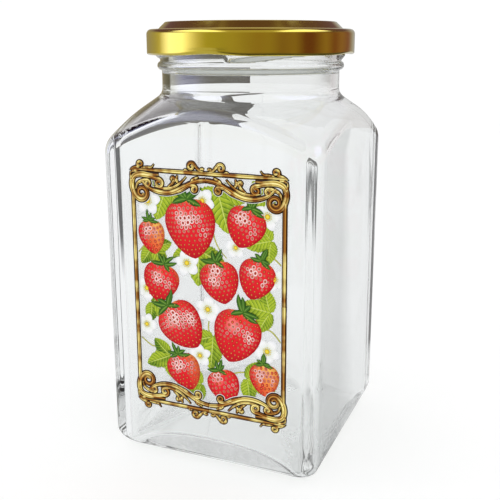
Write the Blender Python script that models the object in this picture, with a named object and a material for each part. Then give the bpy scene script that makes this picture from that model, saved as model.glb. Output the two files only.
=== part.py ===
"""Square storage jar of clear glass, with a twist-off metal lid and a printed label on its front face.

Metres, +Z up. The jar stands on z = 0 with its axis on the origin, and the label faces -Y.
"""

import math

import bmesh
import bpy

MM = 0.001
GAP = 0.3 * MM  # air kept between two pieces that rest on each other

# Vessel: a square body under a conical shoulder, a round neck and a threaded mouth.
BODY_HALF = 36.4 * MM
BODY_CORNER = 3.5 * MM
BASE_HALF = 28.5 * MM
BASE_CORNER = 6.5 * MM
HEEL_HEIGHT = 8.0 * MM
PUSH_UP_HALF = 23.0 * MM
PUSH_UP = 3.0 * MM
CORNER_TOP = 106.5 * MM  # height at which the shoulder meets a vertical corner
NECK_BASE = 120.5 * MM
NECK_RADIUS = 29.45 * MM
ARCH_ROUNDING = 3.2 * MM
NECK_ROUNDING = 2.2 * MM
WALL = 2.4 * MM
FLOOR = 8.4 * MM  # height of the inner floor, along the middle of each side
FLOOR_DROP = 5.8 * MM  # how much lower the floor lies in its corners
FLOOR_ARCH_HALF = 31.0 * MM
INNER_CORNER = 5.5 * MM
INNER_HEEL = 2.5 * MM
INNER_HALF = BODY_HALF - WALL
INNER_NECK = NECK_RADIUS - WALL

# Mouth: a bead under the lid, four slanted thread ridges, and a rounded rim.
BEAD_HEIGHT = 129.5 * MM
BEAD_RADIUS = 30.9 * MM
BEAD_HALF_HEIGHT = 1.35 * MM
FINISH_RADIUS = 30.0 * MM
THREAD_STARTS = 4
THREAD_RISE = 1.5 * MM
THREAD_HALF_WIDTH = 1.3 * MM
THREAD_LOW = 132.2 * MM
THREAD_CLIMB = 4.2 * MM  # climb of one ridge over its whole sweep
THREAD_SWEEP = math.radians(78)
THREAD_TURN = math.radians(-80)  # direction of the first ridge's lower end
THREAD_ROWS = 9
RIM_HEIGHT = 140.2 * MM
RIM_ROUNDING = 1.2 * MM

# Lid: a pressed sheet cap with a raised panel, a rounded shoulder and a rolled lower edge.
LID_RADIUS = 34.2 * MM
LID_CURL_RADIUS = 34.5 * MM
LID_BOTTOM = 133.0 * MM
LID_RING_TOP = 141.1 * MM
LID_TOP = 143.4 * MM
LID_SHEET = 0.6 * MM
LID_SHOULDER = 1.6 * MM
LID_RING_INNER = 30.4 * MM
LID_PANEL_RADIUS = 28.3 * MM
LID_DISH_RADIUS = 25.0 * MM
LID_DISH = 0.5 * MM
LID_DISH_SIDE = 1.0 * MM  # width of the sloping side of the dished middle
LID_SOFTENING = 0.3 * MM  # where two slopes of the pressed sheet meet
LID_CURL = 1.5 * MM
LID_CURL_INSET = 0.4 * MM  # how far the rolled end stands in from the skirt
SMALLEST_EDGE = 0.01 * MM
LID_SIDES = 64

# Label: a thin printed film, its scrolled border standing a little proud.
LABEL_CENTRE_X = 0.65 * MM
LABEL_BOTTOM = 20.4 * MM
LABEL_TOP = 99.3 * MM
LABEL_HALF_WIDTH = 26.4 * MM
LABEL_CREST = 3.2 * MM
LABEL_CREST_HALF_WIDTH = 12.0 * MM
LABEL_BORDER = 2.6 * MM
LABEL_FILM = 0.3 * MM
LABEL_RELIEF = 0.25 * MM
LABEL_CORNER = 3.0 * MM

FACE_STEPS = 11
CORNER_STEPS = 5


def material(name, colour, roughness, metallic=0.0, transmission=0.0):
    """A Principled BSDF of one colour."""
    made = bpy.data.materials.new(name)
    made.use_nodes = True
    shader = made.node_tree.nodes["Principled BSDF"]
    shader.inputs["Base Color"].default_value = (*colour, 1.0)
    shader.inputs["Roughness"].default_value = roughness
    shader.inputs["Metallic"].default_value = metallic
    shader.inputs["Transmission Weight"].default_value = transmission
    return made


def place(bm, name, finish):
    """Turn a bmesh into the named object, smooth but for its sharp edges."""
    bmesh.ops.recalc_face_normals(bm, faces=bm.faces)
    mesh = bpy.data.meshes.new(name)
    bm.to_mesh(mesh)
    bm.free()
    mesh.shade_smooth()
    mesh.set_sharp_from_angle(angle=math.radians(40))
    mesh.materials.append(finish)
    piece = bpy.data.objects.new(name, mesh)
    bpy.context.collection.objects.link(piece)
    return piece


# ---------------------------------------------------------------- sections of the vessel


def square_reach(angle, half, corner):
    """Distance from the axis to a rounded square, in the direction of angle."""
    quarter = math.pi / 2
    off_face = abs((angle + quarter / 2) % quarter - quarter / 2)
    if math.tan(off_face) * half <= half - corner:
        return half / math.cos(off_face)
    along = (half - corner) * (math.cos(off_face) + math.sin(off_face))
    return along + math.sqrt(along**2 - 2 * (half - corner) ** 2 + corner**2)


def square(half, corner, height):
    """A level ring in the form of a rounded square."""
    return lambda angle: (square_reach(angle, half, corner), height)


def circle(radius, height):
    """A level round ring."""
    return lambda angle: (radius, height)


def rounded(before, bend, after, reach, steps):
    """Rings round a bend of the profile: a curve from reach before the bend to reach after it."""

    def at(share):
        def station(angle):
            (r0, z0), (r1, z1), (r2, z2) = before(angle), bend(angle), after(angle)
            back = (1 - share) ** 2 * reach / math.hypot(r0 - r1, z0 - z1)
            ahead = share**2 * reach / math.hypot(r2 - r1, z2 - z1)
            return (
                r1 + (r0 - r1) * back + (r2 - r1) * ahead,
                z1 + (z0 - z1) * back + (z2 - z1) * ahead,
            )

        return station

    return [at(step / steps) for step in range(steps + 1)]


def shoulder(half, corner, neck_radius, neck_base):
    """The ring where a cone from the neck base cuts the square body: an arch on each face."""
    corner_reach = square_reach(math.pi / 4, BODY_HALF, BODY_CORNER)
    slope = (NECK_BASE - CORNER_TOP) / (corner_reach - NECK_RADIUS)

    def station(angle):
        reach = square_reach(angle, half, corner)
        return reach, neck_base - (reach - neck_radius) * slope

    return station


def heel(half, corner, base_half, base_corner, bottom, top, steps):
    """Rings of the rounded lower edge, growing from the base up to the wall."""
    rings = []
    for step in range(1, steps + 1):
        turn = math.pi / 2 * step / steps
        grown = math.sin(turn)
        rings.append(
            square(
                base_half + (half - base_half) * grown,
                base_corner + (corner - base_corner) * grown,
                top - (top - bottom) * math.cos(turn),
            )
        )
    return rings


def thread(height):
    """A ring of the mouth's wall, standing out where a slanted thread ridge crosses it."""

    def station(angle):
        sector = 2 * math.pi / THREAD_STARTS
        along = (angle - THREAD_TURN) % sector
        share = along / THREAD_SWEEP
        if share >= 1:
            return FINISH_RADIUS, height
        off = abs(height - THREAD_LOW - THREAD_CLIMB * share) / THREAD_HALF_WIDTH
        fade = min(1.0, 6 * share, 6 * (1 - share))
        rise = THREAD_RISE * fade * max(0.0, 1 - off**2)
        return FINISH_RADIUS + rise, height

    return station


def directions():
    """The rings' directions: close together round each corner, wider apart along the faces."""
    half_corner = math.pi / 4 - math.atan((BODY_HALF - BODY_CORNER) / BODY_HALF)
    face = math.pi / 2 - 2 * half_corner
    angles = []
    for quarter in range(4):
        start = quarter * math.pi / 2 - math.pi / 4 + half_corner
        angles += [start + face * step / FACE_STEPS for step in range(FACE_STEPS)]
        angles += [start + face + 2 * half_corner * step / CORNER_STEPS for step in range(CORNER_STEPS)]
    return angles


def base_rings():
    """The flat band that the jar stands on, and the rounded heel up to the wall."""
    rings = [square(PUSH_UP_HALF, BASE_CORNER, 0.0), square(BASE_HALF, BASE_CORNER, 0.0)]
    return rings + heel(BODY_HALF, BODY_CORNER, BASE_HALF, BASE_CORNER, 0.0, HEEL_HEIGHT, 5)


def shoulder_rings():
    """The top of the wall, the arches of the shoulder and the foot of the neck."""
    arch = shoulder(BODY_HALF, BODY_CORNER, NECK_RADIUS, NECK_BASE)
    neck_base = circle(NECK_RADIUS, NECK_BASE)
    bead_foot = circle(NECK_RADIUS, BEAD_HEIGHT - BEAD_HALF_HEIGHT)
    wall = square(BODY_HALF, BODY_CORNER, HEEL_HEIGHT)
    rings = rounded(wall, arch, neck_base, ARCH_ROUNDING, 4)
    return rings + rounded(arch, neck_base, bead_foot, NECK_ROUNDING, 3)


def mouth_rings():
    """The bead, the threaded wall above it and the outer half of the rim."""
    rings = []
    steps = 6
    for step in range(steps + 1):
        turn = math.pi * step / steps
        root = NECK_RADIUS if turn < math.pi / 2 else FINISH_RADIUS
        bulge = (BEAD_RADIUS - root) * math.sin(turn)
        rings.append(circle(root + bulge, BEAD_HEIGHT - BEAD_HALF_HEIGHT * math.cos(turn)))
    low = BEAD_HEIGHT + BEAD_HALF_HEIGHT
    high = RIM_HEIGHT - RIM_ROUNDING
    rings += [thread(low + (high - low) * (row + 0.5) / THREAD_ROWS) for row in range(THREAD_ROWS)]
    top = circle(FINISH_RADIUS, RIM_HEIGHT)
    return rings + rounded(circle(FINISH_RADIUS, high), top, circle(INNER_NECK, RIM_HEIGHT), RIM_ROUNDING, 3)


def sunk(station, share=1.0):
    """A ring near the floor, lowered towards its corners, so that the floor meets each wall in an arch."""

    def lowered(angle):
        reach, height = station(angle)
        off_face = abs((angle + math.pi / 4) % (math.pi / 2) - math.pi / 4)
        cornerwise = min(1.0, math.tan(off_face) * INNER_HALF / FLOOR_ARCH_HALF)
        return reach, height - share * FLOOR_DROP * cornerwise**2.6

    return lowered


def inner_rings():
    """The inner half of the rim, the inside of the neck and shoulder, and the wall down to the floor."""
    rim = circle(INNER_NECK, RIM_HEIGHT)
    mouth = circle(INNER_NECK, RIM_HEIGHT - RIM_ROUNDING)
    neck_base = circle(INNER_NECK, NECK_BASE - WALL / 2)
    arch = shoulder(INNER_HALF, INNER_CORNER, INNER_NECK, NECK_BASE - WALL / 2)
    wall_foot = sunk(square(INNER_HALF, INNER_CORNER, FLOOR + INNER_HEEL))
    rings = rounded(circle(FINISH_RADIUS, RIM_HEIGHT), rim, mouth, RIM_ROUNDING, 3)
    rings += rounded(mouth, neck_base, arch, NECK_ROUNDING, 3)
    rings += rounded(neck_base, arch, wall_foot, ARCH_ROUNDING, 4)
    floor_half = INNER_HALF - INNER_HEEL
    rounding = heel(INNER_HALF, INNER_CORNER, floor_half, INNER_CORNER, FLOOR, FLOOR + INNER_HEEL, 4)
    rings += [sunk(ring) for ring in rounding[::-1]]
    floors = [(1.0, 1.0), (0.8, 0.45), (0.55, 0.1)]
    return rings + [sunk(square(floor_half * part, INNER_CORNER * part, FLOOR), share) for part, share in floors]


def set_ring(verts, station):
    """Move the points of a ring to where the station puts them, each in its own direction."""
    for vert in verts:
        angle = math.atan2(vert.co.y, vert.co.x)
        reach, height = station(angle)
        vert.co = (reach * math.cos(angle), reach * math.sin(angle), height)


def make_vessel(finish):
    """Loft the glass from its rings, closed in the middle of the base and of the floor."""
    bm = bmesh.new()
    angles = directions()
    verts = [bm.verts.new((math.cos(angle), math.sin(angle), 0.0)) for angle in angles]
    start = bm.faces.new(verts)
    edges = list(start.edges)
    rings = base_rings() + shoulder_rings() + mouth_rings() + inner_rings()
    set_ring(verts, rings[0])
    push_up = bmesh.ops.poke(bm, faces=[start])["verts"][0]
    push_up.co = (0.0, 0.0, PUSH_UP)
    for station in rings[1:]:
        made = bmesh.ops.extrude_edge_only(bm, edges=edges)["geom"]
        edges = [item for item in made if isinstance(item, bmesh.types.BMEdge)]
        set_ring([item for item in made if isinstance(item, bmesh.types.BMVert)], station)
    floor = bmesh.ops.contextual_create(bm, geom=edges)["faces"]
    bmesh.ops.poke(bm, faces=floor)
    return place(bm, "glass_jar", finish)


# ---------------------------------------------------------------- lid


def arc(centre_x, centre_z, radius, start, stop, steps):
    """Points of an arc, in degrees from +X towards +Z."""
    turns = [math.radians(start + (stop - start) * step / steps) for step in range(steps + 1)]
    return [(centre_x + radius * math.cos(turn), centre_z + radius * math.sin(turn)) for turn in turns]


def make_lid(finish):
    """Spin the cap's sheet, from the middle of its top over the skirt, round the curl and back inside."""
    half_curl = LID_CURL / 2
    curl_x = LID_CURL_RADIUS - half_curl
    curl_z = LID_BOTTOM + half_curl
    inner_wall = LID_RADIUS - LID_SHEET
    dish_top = LID_TOP - LID_DISH
    outside = [(0.0, dish_top), (LID_DISH_RADIUS, dish_top)]
    outside += [(LID_DISH_RADIUS + LID_DISH_SIDE, LID_TOP), (LID_PANEL_RADIUS - 2 * LID_SOFTENING, LID_TOP)]
    outside += [(LID_PANEL_RADIUS, LID_TOP - LID_SOFTENING)]
    outside += [(LID_RING_INNER - LID_SOFTENING, LID_RING_TOP + LID_SOFTENING)]
    outside += [(LID_RING_INNER + LID_SOFTENING, LID_RING_TOP)]
    outside += arc(LID_RADIUS - LID_SHOULDER, LID_RING_TOP - LID_SHOULDER, LID_SHOULDER, 90, 0, 5)
    outside += arc(curl_x, curl_z, half_curl, 40, -180, 7)
    inside = [(inner_wall - LID_CURL_INSET, curl_z + half_curl)]
    inside += arc(
        inner_wall - LID_SHOULDER + LID_SHEET, LID_RING_TOP - LID_SHOULDER, LID_SHOULDER - LID_SHEET, 0, 90, 3
    )
    inside += [(LID_RING_INNER - LID_SHEET, LID_RING_TOP - LID_SHEET)]
    inside += [(LID_PANEL_RADIUS - LID_SHEET, LID_TOP - LID_SHEET)]
    inside += [(LID_DISH_RADIUS + LID_DISH_SIDE, LID_TOP - LID_SHEET)]
    inside += [(LID_DISH_RADIUS, dish_top - LID_SHEET), (0.0, dish_top - LID_SHEET)]

    bm = bmesh.new()
    verts = [bm.verts.new((x, 0.0, z)) for x, z in outside + inside]
    edges = [bm.edges.new(pair) for pair in zip(verts, verts[1:])]
    bmesh.ops.spin(
        bm,
        geom=verts + edges,
        cent=(0, 0, 0),
        axis=(0, 0, 1),
        angle=2 * math.pi,
        steps=LID_SIDES,
        use_merge=True,
    )
    bmesh.ops.remove_doubles(bm, verts=bm.verts, dist=SMALLEST_EDGE)
    return place(bm, "lid", finish)


# ---------------------------------------------------------------- label


def label_outline():
    """The label's edge: a rectangle with rounded corners and a curved crest at its top and bottom."""
    half_height = (LABEL_TOP - LABEL_BOTTOM) / 2
    steps = 16
    top = []
    for step in range(steps + 1):
        across = -1 + 2 * step / steps
        lift = LABEL_CREST * math.cos(across * math.pi / 2) ** 2
        top.append((-across * LABEL_CREST_HALF_WIDTH, half_height + lift))
    corner_x = LABEL_HALF_WIDTH - LABEL_CORNER
    corner_z = half_height - LABEL_CORNER
    upper = arc(corner_x, corner_z, LABEL_CORNER, 0, 90, 4) + top
    upper += arc(-corner_x, corner_z, LABEL_CORNER, 90, 180, 4)
    lower = [(-x, -z) for x, z in upper]
    return upper + lower


def make_label(finish):
    """Cut the film to its outline and press its middle back from the proud border."""
    bm = bmesh.new()
    centre_z = (LABEL_TOP + LABEL_BOTTOM) / 2
    back = -BODY_HALF - GAP
    verts = [bm.verts.new((LABEL_CENTRE_X + x, back, centre_z + z)) for x, z in label_outline()]
    face = bm.faces.new(verts)
    made = bmesh.ops.extrude_face_region(bm, geom=[face])["geom"]
    front_verts = [item for item in made if isinstance(item, bmesh.types.BMVert)]
    bmesh.ops.translate(bm, verts=front_verts, vec=(0.0, -LABEL_FILM - LABEL_RELIEF, 0.0))
    front = [item for item in made if isinstance(item, bmesh.types.BMFace)]
    bmesh.ops.recalc_face_normals(bm, faces=bm.faces)
    bmesh.ops.inset_region(bm, faces=front, thickness=LABEL_BORDER, use_even_offset=True)
    bmesh.ops.inset_region(bm, faces=front, thickness=LABEL_RELIEF, depth=-LABEL_RELIEF)
    return place(bm, "label", finish)


for leftover in list(bpy.data.objects):
    bpy.data.objects.remove(leftover)

make_vessel(material("clear_glass", (0.93, 0.95, 0.94), 0.03, transmission=1.0))
make_lid(material("gold_lacquered_tin", (0.62, 0.50, 0.16), 0.28, metallic=1.0))
make_label(material("printed_film", (0.72, 0.50, 0.22), 0.35))
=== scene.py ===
from math import atan, atan2, cos, exp, hypot, pi, radians, sin, sqrt, tan

import bmesh
import bpy
from mathutils import Matrix, Vector, noise
from mathutils.geometry import interpolate_bezier


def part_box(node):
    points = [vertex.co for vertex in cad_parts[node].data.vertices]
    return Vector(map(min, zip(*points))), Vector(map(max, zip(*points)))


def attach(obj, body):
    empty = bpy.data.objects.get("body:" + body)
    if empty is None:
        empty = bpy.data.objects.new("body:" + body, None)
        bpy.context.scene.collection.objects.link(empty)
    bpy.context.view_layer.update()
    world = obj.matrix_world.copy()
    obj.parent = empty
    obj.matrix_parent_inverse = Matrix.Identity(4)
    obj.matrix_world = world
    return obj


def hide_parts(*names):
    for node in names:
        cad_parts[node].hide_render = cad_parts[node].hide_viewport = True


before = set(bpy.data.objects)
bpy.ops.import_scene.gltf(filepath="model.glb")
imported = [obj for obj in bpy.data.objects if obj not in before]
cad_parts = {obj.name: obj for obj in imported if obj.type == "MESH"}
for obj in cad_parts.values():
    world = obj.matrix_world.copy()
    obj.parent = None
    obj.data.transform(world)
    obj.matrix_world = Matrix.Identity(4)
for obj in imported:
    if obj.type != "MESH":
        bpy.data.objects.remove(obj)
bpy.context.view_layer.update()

# ------------------------------------------------
# The jar: clear flint glass, pressed and blown in a two-part mould. The square body runs into a
# conical shoulder, so that each flat side ends in an arch, and the round neck carries a bead and
# four slanted thread ridges. The mould wall makes the outside true; the inside is free-blown.

MM = 0.001
_, jar_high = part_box("glass_jar")
body_half = jar_high.x
body_corner = 3.5 * MM
base_half = 28.5 * MM
base_corner = 6.5 * MM
heel_height = 8.0 * MM
push_up_half = 23.0 * MM
push_up = 3.0 * MM
corner_top = 106.5 * MM
neck_base = 120.5 * MM
neck_radius = 29.45 * MM
arch_rounding = 4.0 * MM
neck_rounding = 2.2 * MM
wall = 2.4 * MM
floor_height = 8.4 * MM
floor_drop = 5.8 * MM
floor_arch_half = 31.0 * MM
inner_corner = 5.5 * MM
inner_heel = 2.5 * MM
inner_arch_rounding = 2.6 * MM
inner_half = body_half - wall
inner_neck = neck_radius - wall
bead_height = 129.5 * MM
bead_radius = 30.9 * MM
bead_half_height = 1.35 * MM
finish_radius = 30.0 * MM
rim_height = jar_high.z
rim_rounding = 1.2 * MM
thread_starts = 4
thread_rise = 1.5 * MM
thread_half_width = 1.3 * MM
thread_low = 132.2 * MM
thread_climb = 4.2 * MM
thread_sweep = radians(78)
thread_turn = radians(-80)
inner_wobble = 0.14 * MM
wobble_scale = 45
floor_fall = 2.6
mouth_rings = 20
frost_middle, frost_slope, frost_least = 3.3 * MM, -0.13, 0.3 * MM


def square_reach(angle, half, corner):
    """Distance from the axis to a rounded square, in the direction of angle."""
    quarter = pi / 2
    off_face = abs((angle + quarter / 2) % quarter - quarter / 2)
    if tan(off_face) * half <= half - corner:
        return half / cos(off_face)
    along = (half - corner) * (cos(off_face) + sin(off_face))
    return along + sqrt(along**2 - 2 * (half - corner) ** 2 + corner**2)


def square(half, corner, height):
    """A ring of a rounded square: the reach and the height in each direction."""
    return lambda angle: (square_reach(angle, half, corner), height)


def circle(radius, height):
    """A round ring."""
    return lambda angle: (radius, height)


def between(start, end, steps):
    """Rings spaced evenly from one ring to another, without the two themselves."""

    def at(share):
        def station(angle):
            (r0, z0), (r1, z1) = start(angle), end(angle)
            return r0 + (r1 - r0) * share, z0 + (z1 - z0) * share

        return station

    return [at(step / steps) for step in range(1, steps)]


def rounded(before, bend, after, reach, steps):
    """Rings round a bend of the profile: a curve from reach before the bend to reach after it."""

    def at(share):
        def station(angle):
            (r0, z0), (r1, z1), (r2, z2) = before(angle), bend(angle), after(angle)
            back = (1 - share) ** 2 * reach / hypot(r0 - r1, z0 - z1)
            ahead = share**2 * reach / hypot(r2 - r1, z2 - z1)
            return (
                r1 + (r0 - r1) * back + (r2 - r1) * ahead,
                z1 + (z0 - z1) * back + (z2 - z1) * ahead,
            )

        return station

    return [at(step / steps) for step in range(steps + 1)]


def arch(half, corner, radius, height):
    """The ring where the shoulder's cone cuts the square body: an arch on each side."""
    corner_reach = square_reach(pi / 4, body_half, body_corner)
    slope = (neck_base - corner_top) / (corner_reach - neck_radius)

    def station(angle):
        reach = square_reach(angle, half, corner)
        return reach, height - (reach - radius) * slope

    return station


def heel(half, corner, foot_half, foot_corner, bottom, top, steps):
    """Rings of the rounded lower edge, growing from the base up to the wall."""
    rings = []
    for step in range(1, steps + 1):
        turn = pi / 2 * step / steps
        grown = sin(turn)
        rings.append(
            square(
                foot_half + (half - foot_half) * grown,
                foot_corner + (corner - foot_corner) * grown,
                top - (top - bottom) * cos(turn),
            )
        )
    return rings


def thread(height):
    """A ring of the mouth's wall, standing out where a slanted thread ridge crosses it."""

    def station(angle):
        share = (angle - thread_turn) % (2 * pi / thread_starts) / thread_sweep
        if share >= 1:
            return finish_radius, height
        off = abs(height - thread_low - thread_climb * share) / thread_half_width
        fade = min(1.0, 6 * share, 6 * (1 - share))
        rise = thread_rise * fade * max(0.0, 1 - off**2)
        return finish_radius + rise, height

    return station


def outer_rings():
    """The outside of the glass, from the middle of the base up to the rim."""
    foot = square(base_half, base_corner, 0.0)
    rings = [square(push_up_half, base_corner, 0.0), foot]
    rings += heel(body_half, body_corner, base_half, base_corner, 0.0, heel_height, 12)
    wall_foot = rings[-1]
    edge = arch(body_half, body_corner, neck_radius, neck_base)
    cone_top = circle(neck_radius, neck_base)
    bead_foot = circle(neck_radius, bead_height - bead_half_height)
    curve = rounded(wall_foot, edge, cone_top, arch_rounding, 10)
    rings += between(wall_foot, curve[0], 16) + curve
    neck_curve = rounded(edge, cone_top, bead_foot, neck_rounding, 6)
    rings += between(curve[-1], neck_curve[0], 8) + neck_curve + between(neck_curve[-1], bead_foot, 5)
    bead_steps = 14
    for step in range(bead_steps + 1):
        turn = pi * step / bead_steps
        root = neck_radius if turn < pi / 2 else finish_radius
        bulge = (bead_radius - root) * sin(turn)
        rings.append(circle(root + bulge, bead_height - bead_half_height * cos(turn)))
    low = bead_height + bead_half_height
    high = rim_height - rim_rounding
    rows = 26
    rings += [thread(low + (high - low) * (row + 0.5) / rows) for row in range(rows)]
    mouth, top = circle(finish_radius, high), circle(finish_radius, rim_height)
    return rings + rounded(mouth, top, circle(inner_neck, rim_height), rim_rounding, 6)


def sunk(station, share=1.0):
    """A ring near the floor, lowered towards its corners: the floor meets each wall in an arch."""

    def lowered(angle):
        reach, height = station(angle)
        off_face = abs((angle + pi / 4) % (pi / 2) - pi / 4)
        cornerwise = min(1.0, tan(off_face) * inner_half / floor_arch_half)
        return reach, height - share * floor_drop * cornerwise**floor_fall

    return lowered


def inner_rings():
    """The inside of the glass, from the rim down to the middle of the floor."""
    rim = circle(inner_neck, rim_height)
    mouth = circle(inner_neck, rim_height - rim_rounding)
    cone_top = circle(inner_neck, neck_base - wall / 2)
    edge = arch(inner_half, inner_corner, inner_neck, neck_base - wall / 2)
    wall_foot = sunk(square(inner_half, inner_corner, floor_height + inner_heel))
    rings = rounded(circle(finish_radius, rim_height), rim, mouth, rim_rounding, 6)
    neck_curve = rounded(mouth, cone_top, edge, neck_rounding, 6)
    rings += between(rings[-1], neck_curve[0], 12) + neck_curve
    curve = rounded(cone_top, edge, wall_foot, inner_arch_rounding, 14)
    rings += between(neck_curve[-1], curve[0], 8) + curve + between(curve[-1], wall_foot, 24)
    floor_half = inner_half - inner_heel
    low, high = floor_height, floor_height + inner_heel
    rounding = heel(inner_half, inner_corner, floor_half, inner_corner, low, high, 12)
    rings += [sunk(ring) for ring in rounding[::-1]]
    parts = [1 - step / 12 for step in range(12)]
    return rings + [sunk(square(floor_half * part, inner_corner * part, low), part**3) for part in parts]


def columns():
    """Directions of the rings' points: close together round each corner, and just beside it."""
    half_corner = pi / 4 - atan((body_half - body_corner) / body_half)
    face = pi / 2 - 2 * half_corner
    shares = [0, 0.006, 0.02] + [0.04 + 0.92 * step / 24 for step in range(25)] + [0.98, 0.994]
    angles = []
    for quarter in range(4):
        start = quarter * pi / 2 - pi / 4 + half_corner
        angles += [start + face * share for share in shares]
        angles += [start + face + 2 * half_corner * step / 10 for step in range(10)]
    return angles


def set_ring(verts, station, wobble=0.0):
    """Move a ring's points to where the station puts them, each in its own direction."""
    for vert in verts:
        angle = atan2(vert.co.y, vert.co.x)
        reach, height = station(angle)
        spot = Vector((reach * cos(angle), reach * sin(angle), height))
        reach += wobble * noise.noise(spot * wobble_scale)
        vert.co = (reach * cos(angle), reach * sin(angle), height)


def next_row(bm, edges):
    """Extrude a row of edges in place: the new edges, and the new points."""
    made = bmesh.ops.extrude_edge_only(bm, edges=edges)["geom"]
    kinds = bmesh.types.BMEdge, bmesh.types.BMVert
    return ([item for item in made if isinstance(item, kind)] for kind in kinds)


def finished(bm, name, node, look):
    """Make the bmesh a piece of the object, in the place of a node of the frame."""
    mesh = bpy.data.meshes.new(name)
    bm.to_mesh(mesh)
    bm.free()
    mesh.shade_smooth()
    mesh.materials.append(look)
    piece = bpy.data.objects.new(name, mesh)
    bpy.context.collection.objects.link(piece)
    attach(piece, "root")
    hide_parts(node)


def joined(kind, sockets, values, **settings):
    """A node of a kind, beside the nodes that feed it, with values and links put in its sockets."""
    tree = next(value for value in values if isinstance(value, bpy.types.NodeSocket)).id_data
    node = tree.nodes.new(kind)
    for setting, choice in settings.items():
        setattr(node, setting, choice)
    for name, value in zip(sockets, values):
        if isinstance(value, bpy.types.NodeSocket):
            tree.links.new(value, node.inputs[name])
        else:
            node.inputs[name].default_value = value
    return node


def maths(operation, *values):
    """A Math node on values and sockets."""
    return joined("ShaderNodeMath", range(3), values, operation=operation).outputs[0]


def paint(shader, colour, socket_name="Base Color"):
    """Feed a socket of a shader, its colour unless another is named."""
    shader.id_data.links.new(colour, shader.inputs[socket_name])


mottle = bpy.data.node_groups.new("mottle", "ShaderNodeTree")
for socket_name, kind, start in (
    ("Vector", "NodeSocketVector", (0.0, 0.0, 0.0)), ("Scale", "NodeSocketFloat", 1.0),
    ("Detail", "NodeSocketFloat", 2.0), ("Low", "NodeSocketFloat", 0.0), ("High", "NodeSocketFloat", 1.0),
):
    mottle.interface.new_socket(socket_name, in_out="INPUT", socket_type=kind).default_value = start
mottle.interface.new_socket("Value", in_out="OUTPUT", socket_type="NodeSocketFloat")
taken = mottle.nodes.new("NodeGroupInput").outputs
grain = mottle.nodes.new("ShaderNodeTexNoise")
for socket_name in ("Vector", "Scale", "Detail"):
    mottle.links.new(taken[socket_name], grain.inputs[socket_name])
reach = maths("SUBTRACT", taken["High"], taken["Low"])
spread = maths("MULTIPLY_ADD", grain.outputs[0], reach, taken["Low"])
mottle.links.new(spread, mottle.nodes.new("NodeGroupOutput").inputs["Value"])


def clouds(spot, scale, low=0.0, high=1.0, detail=2.0):
    """Soft mottle over a place, spread from low to high."""
    values = spot, scale, detail, low, high
    return joined("ShaderNodeGroup", range(5), values, node_tree=mottle).outputs["Value"]


def grained(shader, height, distance, strength):
    """Give a surface fine relief from a height."""
    bump = joined("ShaderNodeBump", ("Height", "Distance", "Strength"), (height, distance, strength))
    paint(shader, bump.outputs[0], "Normal")


def new_look(name, plain):
    """A material, its shader with the plain values set, and the place on the object."""
    made = bpy.data.materials.new(name)
    made.use_nodes = True
    shader = made.node_tree.nodes["Principled BSDF"]
    for socket_name, value in plain.items():
        shader.inputs[socket_name].default_value = value
    return made, shader, made.node_tree.nodes.new("ShaderNodeTexCoord").outputs["Object"]


def parts_of(vector):
    """The three numbers of a vector."""
    return joined("ShaderNodeSeparateXYZ", [0], [vector]).outputs


# The glass is stippled underneath. Soft light passes straight through it to what stands behind.
clear_glass, glass_shader, where = new_look(
    "clear_flint_glass", {"Base Color": (0.974, 0.980, 0.975, 1.0), "IOR": 1.5, "Transmission Weight": 1.0}
)
nodes = clear_glass.node_tree.nodes
x, y, z = parts_of(where)
out = maths("MAXIMUM", maths("ABSOLUTE", x), maths("ABSOLUTE", y))
line = maths("MAXIMUM", maths("MULTIPLY_ADD", out, frost_slope, frost_middle), frost_least)
underside = maths("LESS_THAN", z, line)
paint(glass_shader, maths("MULTIPLY", underside, clouds(where, 900.0, 0.22, 0.72, 3.0)), "Roughness")
grained(glass_shader, maths("MULTIPLY", underside, clouds(where, 320.0)), 0.2 * MM, 0.5)
surface = glass_shader.outputs[0]
for ray in ("Is Diffuse Ray", "Is Shadow Ray"):
    passing = nodes.new("ShaderNodeBsdfTransparent")
    passing.inputs["Color"].default_value = (0.91, 0.92, 0.91, 1.0)
    path = nodes.new("ShaderNodeLightPath").outputs
    surface = joined("ShaderNodeMixShader", range(3), (path[ray], surface, passing.outputs[0])).outputs[0]
paint(nodes["Material Output"], surface, "Surface")

bm = bmesh.new()
ring = [bm.verts.new((cos(angle), sin(angle), 0.0)) for angle in columns()]
start = bm.faces.new(ring)
edges = list(start.edges)
stations = outer_rings()
set_ring(ring, stations[0])
bmesh.ops.poke(bm, faces=[start])["verts"][0].co = (0.0, 0.0, push_up)
for index, station in enumerate(stations[1:] + inner_rings()):
    edges, ring = next_row(bm, edges)
    set_ring(ring, station, inner_wobble if index >= len(stations) + mouth_rings else 0.0)
bmesh.ops.poke(bm, faces=bmesh.ops.contextual_create(bm, geom=edges)["faces"])
bmesh.ops.recalc_face_normals(bm, faces=bm.faces)
finished(bm, "clear_jar", "glass_jar", clear_glass)

# ------------------------------------------------
# The lid: a twist-off cap pressed from tinplate and lacquered gold. Its lower edge is rolled into
# a curl, which four lugs press up and inwards to catch the glass threads.

lid_low, lid_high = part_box("lid")
lid_radius = lid_high.x - 0.3 * MM
lid_bottom = lid_low.z
lid_top = lid_high.z
lid_ring_top = lid_top - 2.3 * MM
lid_sheet = 0.35 * MM
lid_shoulder = 1.6 * MM
lid_ring_inner = 30.4 * MM
lid_panel_radius = 28.3 * MM
lid_dish_radius = 25.0 * MM
lid_dish = 0.5 * MM
dish_bend, dish_ease = 1.2 * MM, 0.06 * MM
panel_bend, ring_bend = 0.8 * MM, 0.7 * MM
lid_curl = 1.5 * MM
lug_count = 4
lug_turn = radians(-90)
lug_half_angle = radians(13)
lug_lift = 0.55 * MM
lug_pinch = 0.12 * MM
lug_height = 2.2 * MM
paler_edge_height = 0.5 * MM
merge_within = 0.005 * MM


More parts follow.
